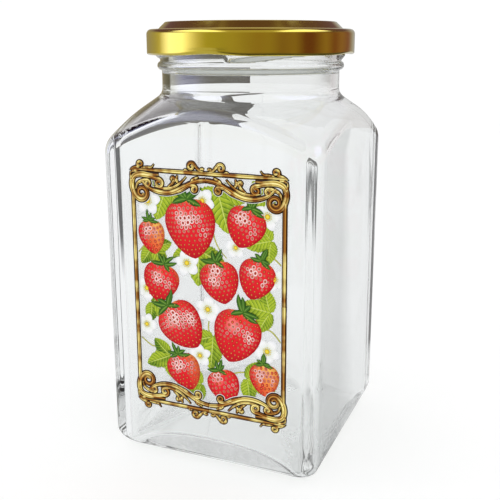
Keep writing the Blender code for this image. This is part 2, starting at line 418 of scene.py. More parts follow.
def arc(centre_x, centre_z, radius, start, stop, steps):
    """Points of an arc, in degrees from +X towards +Z."""
    turns = [radians(start + (stop - start) * step / steps) for step in range(steps + 1)]
    return [(centre_x + radius * cos(turn), centre_z + radius * sin(turn)) for turn in turns]


def underside_of_top(depth):
    """Points from the lid's ring to its middle, at a depth under the outside of the sheet."""
    under, dish_under = lid_top - depth, lid_top - lid_dish - depth
    points = [(lid_ring_inner - depth, lid_ring_top - depth), (lid_panel_radius - depth, under)]
    points += [(lid_dish_radius + 0.8 * MM, under)]
    return points + [(lid_dish_radius - depth, dish_under), (0.0, dish_under)]


def lid_profile():
    """The pressing's outside from its middle to the curl, and its inside back to the middle."""
    half_curl = lid_curl / 2
    curl_x = lid_radius - half_curl
    curl_z = lid_bottom + half_curl
    inner_wall = lid_radius - lid_sheet
    dish_top = lid_top - lid_dish
    skirt_top = lid_ring_top - lid_shoulder
    points = [(0.0, dish_top), (12 * MM, dish_top), (lid_dish_radius - dish_bend, dish_top)]
    points += [(lid_dish_radius - 0.4 * MM, dish_top + dish_ease)]
    points += [(lid_dish_radius + 0.5 * MM, lid_top - dish_ease)]
    points += [(lid_dish_radius + dish_bend, lid_top), (lid_panel_radius - dish_bend, lid_top)]
    points += arc(lid_panel_radius - 0.55 * MM, lid_top - panel_bend, panel_bend, 85, 42, 6)
    points += arc(lid_ring_inner + 0.35 * MM, lid_ring_top + ring_bend, ring_bend, 225, 268, 5)
    points += arc(lid_radius - lid_shoulder, skirt_top, lid_shoulder, 90, 0, 12)
    skirt = skirt_top - curl_z
    points += [(lid_radius, skirt_top - skirt * step / 10) for step in range(1, 10)]
    points += arc(curl_x, curl_z, half_curl, 0, -200, 14)
    points += [(inner_wall - 0.15 * MM, curl_z + half_curl + 0.3 * MM)]
    points += [(inner_wall, curl_z + 2 * half_curl)]
    points += arc(inner_wall - lid_shoulder + lid_sheet, skirt_top, lid_shoulder - lid_sheet, 0, 90, 6)
    return points + underside_of_top(lid_sheet)


def spun(profile, steps):
    """A bmesh of a profile turned all the way round the jar's axis."""
    bm = bmesh.new()
    points = [bm.verts.new((x, 0.0, z)) for x, z in profile]
    geom = points + [bm.edges.new(pair) for pair in zip(points, points[1:])]
    bmesh.ops.spin(bm, geom=geom, cent=(0, 0, 0), axis=(0, 0, 1), angle=2 * pi, steps=steps, use_merge=True)
    bmesh.ops.remove_doubles(bm, verts=bm.verts, dist=merge_within)
    return bm


def clamped(operation, *values):
    """A Math node whose result stays between 0 and 1."""
    return joined("ShaderNodeMath", range(3), values, operation=operation, use_clamp=True).outputs[0]


def mixed(factor, first, second, blend="MIX"):
    """A blend of two colours by a factor."""
    first, second = ((*colour, 1.0) if isinstance(colour, tuple) else colour for colour in (first, second))
    values = factor, first, second
    return joined("ShaderNodeMix", (0, 6, 7), values, data_type="RGBA", blend_type=blend).outputs[2]


gold, gold_shader, where = new_look(
    "gold_lacquer", {"Metallic": 1.0, "Coat Weight": 0.8, "Coat Roughness": 0.08}
)
lacquer = mixed(clouds(where, 70.0, -0.3, 1.3), (0.62, 0.485, 0.036), (0.56, 0.435, 0.032))
# The lacquer is painted paler in mottled patches along the skirt's lower edge.
low_edge = maths("MULTIPLY_ADD", parts_of(where)[2], -1 / paler_edge_height, lid_bottom / paler_edge_height + 0.7)
paler_lower_edge = clamped("ADD", low_edge, clouds(where, 420.0, -1.3, 0.5, 4.0))
paint(gold_shader, mixed(paler_lower_edge, lacquer, (0.66, 0.62, 0.42)))
paint(gold_shader, clouds(where, 260.0, 0.11, 0.20, 3.0), "Roughness")
grained(gold_shader, clouds(where, 620.0, 0.0, 1.0, 3.0), 0.02 * MM, 0.25)

bm = spun(lid_profile(), 160)
for vert in bm.verts:
    height = (vert.co.z - lid_bottom) / lug_height
    if height < 1:
        angle = atan2(vert.co.y, vert.co.x)
        sector = 2 * pi / lug_count
        off = ((angle - lug_turn + sector / 2) % sector - sector / 2) / lug_half_angle
        press = exp(-(off**2)) * (1 - height) ** 0.5
        reach = hypot(vert.co.x, vert.co.y)
        shrink = 1 - lug_pinch * press / reach
        vert.co = (vert.co.x * shrink, vert.co.y * shrink, vert.co.z + lug_lift * press)
bmesh.ops.recalc_face_normals(bm, faces=bm.faces)
finished(bm, "gold_lid", "lid", gold)

# ------------------------------------------------
# The lid's lining: a coat of white food enamel, baked on the inside of the tinplate. It covers the
# top and the skirt down to the curl.

coat = lid_sheet + 0.03 * MM
lining_bend = lid_shoulder - coat
wall_line = lid_radius - coat - 0.05 * MM

enamel, enamel_shader, where = new_look("white_enamel", {})
paint(enamel_shader, mixed(clouds(where, 90.0), (0.80, 0.80, 0.79), (0.73, 0.73, 0.72)))
paint(enamel_shader, clouds(where, 300.0, 0.25, 0.5), "Roughness")
grained(enamel_shader, clouds(where, 700.0), 0.02 * MM, 0.25)

profile = [(wall_line, lid_bottom + lid_curl + 0.2 * MM)]
profile += arc(wall_line - lining_bend, lid_ring_top - lid_shoulder, lining_bend, 0, 90, 6)
bm = spun(profile + underside_of_top(coat), 96)
bmesh.ops.recalc_face_normals(bm, faces=bm.faces)
bmesh.ops.reverse_faces(bm, faces=bm.faces)
finished(bm, "lid_lining", "lid", enamel)

# ------------------------------------------------
# The label's film: clear polypropylene, cut to a rectangle with a low crest at its top and bottom,
# and stuck flat on the front face of the glass. All the ink lies on it in thin raised layers.

label_low, label_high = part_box("label")
label_x = (label_low.x + label_high.x) / 2
label_z = (label_low.z + label_high.z) / 2
film_half = (label_high.x - label_low.x) / 2 / MM
film_crest = (label_high.z - label_low.z) / 2 / MM
crest_half, crest_rise = 12.0, 3.2
film_side = film_crest - crest_rise
film_corner = 3.0
film_inset = 0.1
film_depth = 0.07
ink_body = 0.03


def on_label(x, z, depth):
    """A place on the label: millimetres across and up from its middle, and out from the glass."""
    return Vector((label_x + x * MM, -body_half - depth * MM, label_z + z * MM))


def smooth(points, steps):
    """A curve through the points, with steps short pieces between one point and the next."""
    spots = [Vector((*point, 0.0)) for point in points]
    ends = [2 * spots[0] - spots[1]] + spots + [2 * spots[-1] - spots[-2]]
    path = []
    for before, start, stop, after in zip(ends, ends[1:], ends[2:], ends[3:]):
        handles = start + (stop - before) / 6, stop - (after - start) / 6
        path += interpolate_bezier(start, *handles, stop, steps + 1)[:-1]
    return path + [spots[-1]]


def new_ink():
    """An empty mesh whose points carry a place across and along their stroke, and its tone."""
    bm = bmesh.new()
    bm.verts.layers.float_vector.new("ink")
    return bm


def gather(bm, part):
    """Add a finished small mesh of ink to a larger one."""
    mesh = bpy.data.meshes.new("part")
    part.to_mesh(mesh)
    part.free()
    bm.from_mesh(mesh)
    bpy.data.meshes.remove(mesh)


def sweep(bm, path, width, depth, rise=0.0, across=2, tone=0.0):
    """Draw a stroke along a path, as wide to each side as width says, its middle raised by rise."""
    part = new_ink()
    ink = part.verts.layers.float_vector["ink"]
    lengths = [0.0]
    for start, stop in zip(path, path[1:]):
        lengths.append(lengths[-1] + (stop - start).length)
    row = [part.verts.new() for _ in range(across + 1)]
    for step, vert in enumerate(row):
        vert[ink] = (2 * step / across - 1, 0.0, tone)
    edges = [part.edges.new(pair) for pair in zip(row, row[1:])]
    for index, spot in enumerate(path):
        if index:
            edges, row = next_row(part, edges)
        ahead = path[min(index + 1, len(path) - 1)] - path[max(index - 1, 0)]
        side = Vector((-ahead.y, ahead.x, 0.0)).normalized()
        along = lengths[index] / lengths[-1]
        for vert in row:
            off = vert[ink].x
            flat = spot + side * width(along) * off
            vert.co = on_label(flat.x, flat.y, depth + rise * (1 - off**2))
            vert[ink] = (off, along, tone)
    gather(bm, part)


def dot(bm, x, z, radius, depth, stretch=1.0, turn=0.0, segments=10, tone=0.0, rise=0.02):
    """Print a round or oval dot, its middle a little raised."""
    ink = bm.verts.layers.float_vector["ink"]
    made = bmesh.ops.create_circle(bm, cap_ends=True, segments=segments, radius=1.0)["verts"]
    middle = bmesh.ops.poke(bm, faces=made[0].link_faces[:1])["verts"][0]
    for vert in made + [middle]:
        off = vert.co.length
        across, up = vert.co.x * radius, vert.co.y * radius * stretch
        spot_x = x + across * cos(turn) - up * sin(turn)
        spot_z = z + across * sin(turn) + up * cos(turn)
        vert.co = on_label(spot_x, spot_z, depth + rise * (1 - off))
        vert[ink] = (off, 0.5, tone)


def printed(bm, name, look):
    """Turn the ink's faces outwards, give it a thin body, and make it a piece of the label."""
    bmesh.ops.reverse_faces(bm, faces=[face for face in bm.faces if face.normal.y > 0])
    bmesh.ops.solidify(bm, geom=bm.faces, thickness=ink_body * MM)
    finished(bm, name, "label", look)


def look_of(name, roughness, coat=0.03, colour=(0.8, 0.8, 0.8), alpha=1.0):
    """A glossy ink: its material, its shader, and its strokes' place, with that place's parts."""
    plain = {"Base Color": (*colour, 1.0), "Alpha": alpha, "Specular IOR Level": 0.12}
    made, shader, where = new_look(name, plain | {"Coat Weight": coat, "Coat Roughness": 0.08})
    paint(shader, clouds(where, 300.0, roughness - 0.08, roughness + 0.12), "Roughness")
    grained(shader, clouds(where, 900.0), 0.03 * MM, 0.2)
    ink = made.node_tree.nodes.new("ShaderNodeAttribute")
    ink.attribute_name = "ink"
    return made, shader, ink.outputs["Vector"], parts_of(ink.outputs["Vector"])


def lengthwise(parts, stretch):
    """A place along a stroke, spread out by its tone so that no two strokes are alike."""
    values = maths("MULTIPLY", parts[1], stretch), maths("MULTIPLY", parts[2], 37.0)
    return joined("ShaderNodeCombineXYZ", range(2), values).outputs[0]


def flat_print(name, look, outline, depth):
    """One flat piece of the label with an outline."""
    bm = new_ink()
    bm.faces.new([bm.verts.new(on_label(x, z, depth)) for x, z in outline])
    bmesh.ops.recalc_face_normals(bm, faces=bm.faces)
    printed(bm, name, look)


crest = []
for step in range(17):
    across = 1 - step / 8
    crest.append((across * crest_half, film_side + crest_rise * cos(across * pi / 2) ** 2))
turns = [radians(90 * step / 6) for step in range(7)]
corner_x, corner_z = film_half - film_inset - film_corner, film_side - film_corner - film_inset
bend = [(corner_x + film_corner * cos(turn), corner_z + film_corner * sin(turn)) for turn in turns]
upper = bend + crest + [(-x, z) for x, z in reversed(bend)]
film, *_ = look_of("clear_label_film", 0.12, 0.0, (0.97, 0.97, 0.96), 0.05)
flat_print("label_film", film, upper + [(-x, -z) for x, z in upper], film_depth)

# ------------------------------------------------
# The ground of the print: a faint grey tint, printed first over the whole field inside the border,
# so that the glass behind the fruit looks a little greyer than the glass round the label.

tint_half, tint_height, tint_depth = 25.2, 38.4, 0.095

corners = [(x * tint_half, z * tint_height) for x, z in ((1, 1), (-1, 1), (-1, -1), (1, -1))]
tint, *_ = look_of("grey_ground_tint", 0.35, 0.0, (0.60, 0.61, 0.63), 0.11)
flat_print("ground_tint", tint, corners, tint_depth)

# ------------------------------------------------
# The gilt border: printed scrollwork in the old carved style, the same in all four quarters. Each
# scroll is inked three times, white first, then a wider dark outline, then the raised gold.

outline_margin = 0.30
white_margin = 0.48
white_depth, dark_depth, gold_depth = 0.50, 0.56, 0.61
gold_rise = 0.11
layer_lift = 0.0007
bar_height = 38.9
rail_place = 25.35


def swelling(full, start, end, peak=0.4):
    """A stroke's half width: a share of full at its start, full at its peak, a share at its end."""

    def width(along):
        if along < peak:
            return full * (start + (1 - start) * sin(along / peak * pi / 2))
        return full * (end + (1 - end) * cos((along - peak) / (1 - peak) * pi / 2))

    return width


def curl(x, z, radius, start, turn, tight=0.30):
    """Points of a volute round (x, z): it starts in a direction and winds in through turn degrees."""
    count = max(4, round(abs(turn) / 40))
    points = []
    for step in range(count + 1):
        share = step / count
        angle = radians(start + turn * share)
        reach = radius * (1 - (1 - tight) * share)
        points.append((x + reach * cos(angle), z + reach * sin(angle)))
    return points


# One quarter of the border: each scroll's points, its half width, and the share of it at its ends.
scrolls = [
    ([(16.0, 37.6), (19.0, 37.5), (22.4, 37.7), (25.0, 36.6), (25.75, 34.0), (25.0, 31.2)]
        + curl(22.3, 31.6, 2.3, -60, -470), 0.85, 0.3, 0.5),
    ([(25.6, 33.6), (25.1, 36.0), (23.0, 37.1), (19.6, 37.0), (17.0, 36.4)]
        + curl(16.2, 34.9, 1.45, 95, 430), 0.62, 0.4, 0.6),
    ([(24.4, 32.6), (23.6, 34.6), (21.4, 35.6)] + curl(20.2, 34.7, 1.1, 60, 400), 0.5, 0.3, 0.7),
    ([(22.6, 35.8), (19.8, 33.4), (15.8, 32.2), (11.6, 32.5), (7.6, 34.4), (3.6, 36.3), (0.0, 36.9)],
        0.72, 0.35, 0.8),
    ([(17.8, 33.9), (14.6, 33.4), (11.4, 33.9), (8.6, 35.6), (6.6, 37.6)], 0.45, 0.2, 0.3),
    ([(11.5, 31.9), (8.6, 33.2), (6.0, 34.8)] + curl(4.1, 33.9, 1.15, 75, 400), 0.5, 0.2, 0.75),
    ([(13.0, 34.0), (11.4, 35.2)] + curl(11.3, 36.6, 0.85, -100, -330), 0.42, 0.3, 0.9),
    ([(9.4, 35.4), (10.0, 36.4), (9.6, 37.9)], 0.45, 0.5, 0.15),
    ([(5.2, 35.6), (4.4, 36.8), (2.4, 37.8)], 0.42, 0.3, 0.2),
    ([(1.0, 39.5), (2.1, 39.7), (3.1, 40.6)] + curl(4.9, 40.8, 1.35, 165, -420), 0.45, 0.35, 0.8),
    ([(0.5, 40.0), (1.4, 40.3), (2.3, 39.6)], 0.34, 0.5, 0.3),
    ([(7.6, 39.4), (6.7, 39.7), (6.0, 39.3)], 0.26, 0.2, 0.2),
    ([(25.9, 38.9), (24.9, 39.4), (23.9, 39.6)] + curl(22.5, 40.6, 1.05, -50, 390), 0.42, 0.3, 0.8),
    ([(22.0, 39.5), (20.2, 39.7), (18.6, 39.8), (17.6, 40.9)], 0.3, 0.5, 0.15),
    ([(23.4, 38.3), (24.8, 38.4), (26.1, 37.7)], 0.42, 0.5, 0.1),
    ([(25.2, 34.4), (26.0, 36.2), (26.1, 38.2)], 0.3, 0.4, 0.15),
]
gold_lines = [
    ([(0.0, bar_height), (12.0, bar_height), (24.6, bar_height), (26.0, bar_height - 0.4)], 0.55, 1.0, 0.3),
    ([(rail_place, 0.0), (rail_place, 16.0), (rail_place, 32.5)], 0.55, 1.0, 1.0),
]


def gilding(name, look, margin, depth, rise=0.0, across=1):
    """Print the whole border in one ink, each stroke wider by margin."""
    bm = new_ink()
    quarters = [(flip_x, flip_z) for flip_x in (1, -1) for flip_z in (1, -1)]
    for number, (points, full, start, end) in enumerate(gold_lines + scrolls):
        width = swelling(full, start, end)
        for flip_x, flip_z in quarters:
            path = smooth([(x * flip_x, z * flip_z) for x, z in points], 5)
            tone = (number * 0.137 + (flip_x + 2 * flip_z) * 0.021) % 1
            lift = layer_lift * number
            hand = flip_x * flip_z
            sweep(bm, path, lambda along: hand * (width(along) + margin), depth + lift, rise, across, tone)
    printed(bm, name, look)


def ramp(factor, stops):
    """A colour ramp through stops of position and colour."""
    node = joined("ShaderNodeValToRGB", [0], [factor])
    marks = node.color_ramp.elements
    for mark, (position, colour) in zip(marks, (stops[0], stops[-1])):
        mark.position, mark.color = position, (*colour, 1.0)
    for position, colour in stops[1:-1]:
        marks.new(position).color = (*colour, 1.0)
    return node.outputs[0]


white_ink, *_ = look_of("white_underprint", 0.4, colour=(0.93, 0.93, 0.91))
gilding("border_underprint", white_ink, white_margin, white_depth)

dark_ink, *_ = look_of("dark_outline_ink", 0.35, colour=(0.028, 0.012, 0.004))
gilding("border_outline", dark_ink, outline_margin, dark_depth)

gold_ink, gold_ink_shader, _, parts = look_of("gilt_ink", 0.3, coat=0.08)
crosswise = maths("MULTIPLY_ADD", parts[0], 0.5, 0.5)
pale = ramp(crosswise, [
    (0.0, (0.10, 0.04, 0.004)), (0.14, (0.80, 0.60, 0.10)), (0.32, (1.0, 0.96, 0.46)),
    (0.52, (0.86, 0.62, 0.13)), (0.62, (0.10, 0.035, 0.005)), (0.72, (0.70, 0.46, 0.07)),
    (0.84, (0.96, 0.84, 0.30)), (1.0, (0.10, 0.04, 0.004)),
])
deep = ramp(crosswise, [
    (0.0, (0.03, 0.008, 0.001)), (0.22, (0.22, 0.07, 0.008)), (0.40, (0.66, 0.34, 0.05)),
    (0.54, (0.24, 0.07, 0.006)), (0.70, (0.10, 0.025, 0.003)), (0.86, (0.30, 0.11, 0.012)),
    (1.0, (0.03, 0.008, 0.001)),
])
paint(gold_ink_shader, mixed(clouds(lengthwise(parts, 4.5), 1.0, -2.75, 3.85), pale, deep))
gilding("border_gold", gold_ink, 0.0, gold_depth, gold_rise, 4)

# ------------------------------------------------
# Stalks and tendrils: thin lines of yellow-green ink, printed first of the picture, that run from
# leaf to fruit and end in curls.

stalk_depth, leaf_depth, petal_depth = 0.11, 0.15, 0.24
stalk_half = 0.24

stalks = [
    [(-24.5, 31.0), (-20.0, 30.5), (-16.0, 27.5), (-13.5, 24.0)],
    [(-24.5, 12.0), (-21.0, 15.5), (-17.5, 15.8), (-15.0, 13.0)],
    [(-13.0, 3.0), (-16.5, 1.0), (-18.0, -3.0), (-16.0, -6.0)] + curl(-18.4, -7.4, 2.0, 20, -330),
    [(24.5, 30.0), (20.0, 30.5), (16.0, 28.5), (14.0, 25.0)],
    [(24.5, 12.5), (21.0, 15.0), (18.0, 14.0), (16.0, 11.5)],
    [(21.0, 15.0), (20.5, 18.5)] + curl(18.6, 19.6, 1.7, -20, 320),
    [(3.5, 27.0), (2.0, 21.5), (3.5, 16.5), (6.5, 13.0)],
    [(24.5, -12.0), (21.0, -8.5), (17.0, -8.5), (14.0, -10.5)],
    [(0.5, -6.0), (0.0, -11.0), (2.5, -15.0)] + curl(4.6, -15.6, 1.9, 160, 330),
    [(-24.5, -17.0), (-20.5, -19.5), (-17.0, -19.0), (-13.5, -21.5)],
    [(7.0, -25.0), (12.0, -23.5), (16.5, -25.0), (19.5, -28.0)],
]

stalk_ink, stalk_shader, _, parts = look_of("stalk_ink", 0.4)
paint(stalk_shader, ramp(maths("MULTIPLY_ADD", parts[0], 0.5, 0.5), [
    (0.0, (0.24, 0.27, 0.03)), (0.45, (0.62, 0.60, 0.14)), (1.0, (0.30, 0.30, 0.04)),
]))
bm = new_ink()
for number, points in enumerate(stalks):
    sweep(bm, smooth(points, 8), swelling(stalk_half, 0.9, 0.55), stalk_depth + 0.002 * number, 0.01, 2)
printed(bm, "stalks", stalk_ink)

# ------------------------------------------------
# Leaves: three toothed leaflets on one stalk, in bright yellow-green ink with paler veins and
# dark folds, laid over the stalks.


def toothed(full, teeth):
    """Half width of a leaflet: widest below its middle, with teeth that point to its tip."""

    def width(along):
        blade = sin(pi * min(1.0, 0.04 + 0.96 * along) ** 0.82) ** 0.72
        return full * blade * (1 - 0.17 * (along * teeth % 1)) + 0.05

    return width


def headings(turn):
    """The direction of a turn in degrees, and the one to its left."""
    angle = radians(turn)
    return Vector((cos(angle), sin(angle), 0.0)), Vector((-sin(angle), cos(angle), 0.0))


def leaf(bm, x, z, turn, length, full, depth, tone, bend=0.0, teeth=9):
    """One leaflet from its stalk at (x, z), pointing in a direction, its midrib bent sideways."""
    ahead, aside = headings(turn)
    count = teeth * 4
    path = []
    for step in range(count + 1):
        share = step / count
        path.append(Vector((x, z, 0.0)) + ahead * length * share + aside * length * bend * share**2)
    sweep(bm, path, toothed(full, teeth), depth, 0.012, 6, tone)


# Each spray: where its leaflets meet, the way it points, and its size.
sprays = [
    (-14.0, 33.5, -110, 11.0), (3.6, 34.0, -75, 13.5), (-19.5, 14.5, -55, 9.0), (21.0, 20.0, -165, 9.0),
    (-3.0, 15.0, -92, 12.0), (-20.2, -4.5, -30, 8.5), (20.8, -2.5, 172, 10.0), (1.5, -13.0, -95, 11.5),
    (-14.0, -22.0, -155, 9.5), (13.0, -25.5, -15, 10.0), (-3.0, -30.0, -170, 9.0), (20.5, 33.0, -150, 9.0),
]

leaf_ink, leaf_shader, place, parts = look_of("leaf_ink", 0.38)
edgeward = maths("ABSOLUTE", parts[0])
ribs = maths("MULTIPLY_ADD", edgeward, -0.20, parts[1])
ribs = maths("FRACT", maths("MULTIPLY", ribs, 8.0))
blade = ramp(ribs, [
    (0.0, (0.60, 0.68, 0.10)), (0.12, (0.44, 0.55, 0.035)), (0.6, (0.35, 0.47, 0.022)),
    (0.92, (0.17, 0.30, 0.012)), (1.0, (0.05, 0.14, 0.005)),
])
blade_shade = ramp(ribs, [
    (0.0, (0.18, 0.31, 0.020)), (0.5, (0.09, 0.20, 0.008)), (1.0, (0.015, 0.06, 0.004)),
])
fold = maths("MULTIPLY_ADD", parts[0], 0.35, maths("MULTIPLY_ADD", edgeward, -0.15, 0.1))
patches = maths("ADD", clouds(place, 1.6), fold)
patches = maths("MULTIPLY_ADD", parts[2], 0.5, patches)
folded = mixed(clamped("MULTIPLY_ADD", patches, 2.4, -1.75), blade, blade_shade)
paint(leaf_shader, mixed(maths("LESS_THAN", edgeward, 0.045), folded, (0.56, 0.66, 0.14)))
bm = new_ink()
for number, (x, z, turn, size) in enumerate(sprays):
    depth = leaf_depth + 0.007 * number
    tone = number * 0.37 % 1
    leaf(bm, x, z, turn + 62, size * 0.80, size * 0.30, depth, tone * 0.8, bend=0.12)
    leaf(bm, x, z, turn - 62, size * 0.80, size * 0.30, depth + 0.002, tone, bend=-0.12)
    leaf(bm, x, z, turn, size, size * 0.34, depth + 0.004, tone * 0.6)
printed(bm, "leaves", leaf_ink)

# ------------------------------------------------
# Blossoms: five broad white petals, thick with ink and streaked grey at their folds, round a
# yellow heart with a ring of stamens.

blossoms = [
    (-20.5, 29.0, 4.6, 15), (-1.5, 30.5, 4.2, 50), (19.8, 27.3, 4.4, 5), (-7.2, 10.2, 4.5, 30),
    (-21.8, 0.2, 4.3, 62), (22.0, 8.2, 4.0, 40), (-0.2, -4.2, 4.5, 10), (19.8, -15.2, 4.4, 55),
    (-3.2, -20.2, 4.0, 25), (-22.3, -12.2, 3.8, 0), (9.5, 16.8, 3.6, 20),
]


def petal_width(full):
    """Half width of a petal: narrow at the heart, broadest well past its middle."""
    return lambda along: full * sin(pi * (0.06 + 0.915 * along**0.85)) ** 0.6


petal_ink, petal_shader, _, parts = look_of("petal_ink", 0.4)
throat = ramp(parts[1], [
    (0.0, (0.55, 0.62, 0.38)), (0.28, (0.83, 0.86, 0.80)), (0.62, (0.95, 0.95, 0.95)),
    (1.0, (0.80, 0.82, 0.84)),
])
lines = maths("MULTIPLY", maths("ADD", parts[0], clouds(lengthwise(parts, 0.6), 1.0)), 2.6)
folds = ramp(maths("FRACT", lines), [
    (0.0, (0.70, 0.72, 0.74)), (0.16, (1.0, 1.0, 1.0)), (1.0, (0.97, 0.97, 0.98)),
])
paint(petal_shader, mixed(0.6, throat, folds, "MULTIPLY"))

heart_ink, heart_shader, _, parts = look_of("heart_ink", 0.4)
paint(heart_shader, ramp(parts[0], [
    (0.0, (0.95, 0.80, 0.10)), (0.6, (0.86, 0.62, 0.03)), (1.0, (0.52, 0.40, 0.02)),
]))

petal_bm, heart_bm = new_ink(), new_ink()
for number, (x, z, size, turn) in enumerate(blossoms):
    for petal in range(5):
        ahead = headings(turn + 72 * petal)[0]
        path = [Vector((x, z, 0.0)) + ahead * size * (0.10 + 0.90 * step / 14) for step in range(15)]
        full = size * (0.40 + 0.05 * sin(number * 2.3 + petal * 1.7))
        depth = petal_depth + 0.004 * (petal % 3) + 0.002 * number / 11
        tone = (number * 5 + petal) * 0.0731 % 1
        sweep(petal_bm, path, petal_width(full), depth, 0.02, 6, tone)
    dot(heart_bm, x, z, size * 0.20, petal_depth + 0.05, segments=12, rise=0.03)
    for stamen in range(12):
        angle = radians(turn + 30 * stamen)
        reach = size * (0.27 + 0.02 * (stamen % 2))
        spot_x, spot_z = x + reach * cos(angle), z + reach * sin(angle)
        dot(heart_bm, spot_x, spot_z, size * 0.045, petal_depth + 0.045, segments=6, rise=0.01, tone=0.5)
printed(petal_bm, "petals", petal_ink)
printed(heart_bm, "blossom_hearts", heart_ink)

# ------------------------------------------------
# Berries: plump red fruit in low relief, some of them not yet ripe. Each is set with seeds in
# staggered rows that crowd together towards its sides; where the light falls, every seed has a
# pale ring, and the rings run together into a highlight.

berry_depth = 0.27
berry_rise = 0.12
berry_steps = 26
seed_depth, seed_lift = 0.012, 0.035
seed_row_gap, seed_gap = 1.42, 1.28
seed_spread = radians(80)
seed_limit = 0.93
seed_stray, stray_draw = 0.30, 7

# Each berry: the middle of its crown, where its tip points, its length, half width and unripeness.
berries = [
    (-6.8, 30.6, -82, 18.8, 8.6, 0.0), (14.6, 29.4, -108, 13.0, 6.4, 0.0),
    (-20.2, 22.8, -80, 11.0, 4.7, 0.80), (17.9, 13.6, -106, 13.0, 6.0, 0.25),
    (2.6, 11.6, -76, 13.6, 6.6, 0.0), (-15.2, 9.0, -104, 13.0, 6.4, 0.35),
    (-14.4, -4.8, -50, 16.4, 7.8, 0.0), (11.8, -3.6, -106, 17.6, 8.0, 0.1),
    (-11.2, -21.0, -66, 12.6, 6.0, 0.55), (18.6, -19.6, -86, 10.8, 5.0, 0.9),
    (3.4, -24.2, -70, 11.5, 5.6, 0.0),
]


def plump(full):
    """Half width of a berry: broad just below its crown, and drawn in to a blunt tip."""
    return lambda along: full * max(0.02, min(along, 1.0) ** 0.38 * max(0.0, 1 - along) ** 0.66 / 0.505)


def lit(off, along, number):
    """How strongly the highlight falls on a place of a berry, from 0 to 1."""
    main = exp(-((off + 0.25) ** 2 / 0.20 + (along - 0.30) ** 2 / 0.045))
    second = 0.75 * exp(-((off - 0.50) ** 2 / 0.05 + (along - 0.48) ** 2 / 0.03))
    patches = 0.5 + 1.2 * noise.noise(Vector((off * 1.6, along * 4.0, number * 5.1)))
    return max(0.0, min(1.0, 1.7 * (main + second) * patches))


berry_ink, berry_shader, place, parts = look_of("berry_ink", 0.3, coat=0.06)
ripe = ramp(parts[1], [
    (0.0, (0.88, 0.36, 0.08)), (0.07, (0.88, 0.045, 0.030)), (0.30, (0.84, 0.018, 0.024)),
    (0.75, (0.72, 0.010, 0.018)), (1.0, (0.44, 0.004, 0.010)),
])
unripe = ramp(parts[1], [
    (0.0, (0.90, 0.62, 0.14)), (0.35, (0.90, 0.36, 0.07)), (1.0, (0.80, 0.10, 0.03)),
])
blush = clouds(place, 2.2)
one_side = maths("MULTIPLY_ADD", parts[0], 0.9, maths("MULTIPLY_ADD", parts[2], 3.0, -2.3))
fruit = mixed(clamped("ADD", one_side, blush), ripe, unripe)
rim = maths("POWER", maths("ABSOLUTE", parts[0]), 4.0)
fruit = mixed(maths("MULTIPLY", rim, 0.65), fruit, (0.30, 0.002, 0.008))
beside, below = maths("ADD", parts[0], 0.25), maths("SUBTRACT", parts[1], 0.30)
away = maths("MULTIPLY", maths("MULTIPLY", below, below), 34.0)
away = maths("MULTIPLY_ADD", maths("MULTIPLY", beside, beside), 7.0, away)
glow = clamped("MULTIPLY_ADD", away, -1.0, maths("MULTIPLY_ADD", blush, 1.6, 0.1))
paint(berry_shader, mixed(maths("MULTIPLY", glow, 0.7), fruit, (0.98, 0.34, 0.30)))

ring_ink, ring_shader, _, parts = look_of("highlight_ink", 0.3, coat=0.06)
ring_shade = ramp(parts[0], [
    (0.0, (0.55, 0.01, 0.015)), (0.42, (0.72, 0.03, 0.03)), (0.60, (1.0, 0.72, 0.68)),
    (0.84, (1.0, 0.86, 0.83)), (1.0, (0.90, 0.30, 0.27)),
])
pit_shade = ramp(parts[0], [
    (0.0, (0.36, 0.002, 0.006)), (0.50, (0.46, 0.003, 0.008)), (0.75, (0.70, 0.012, 0.018)),
    (1.0, (0.64, 0.008, 0.014)),
])
paint(ring_shader, mixed(parts[2], ring_shade, pit_shade))

seed_ink, seed_shader, _, parts = look_of("seed_ink", 0.35)
seed_shade = ramp(parts[0], [
    (0.0, (0.70, 0.34, 0.06)), (0.34, (0.40, 0.07, 0.015)), (0.6, (0.20, 0.004, 0.005)),
    (1.0, (0.26, 0.005, 0.008)),
])
pale_seed = ramp(parts[0], [
    (0.0, (0.90, 0.62, 0.14)), (0.6, (0.72, 0.30, 0.05)), (1.0, (0.36, 0.02, 0.01)),
])
paint(seed_shader, mixed(parts[2], seed_shade, pale_seed))

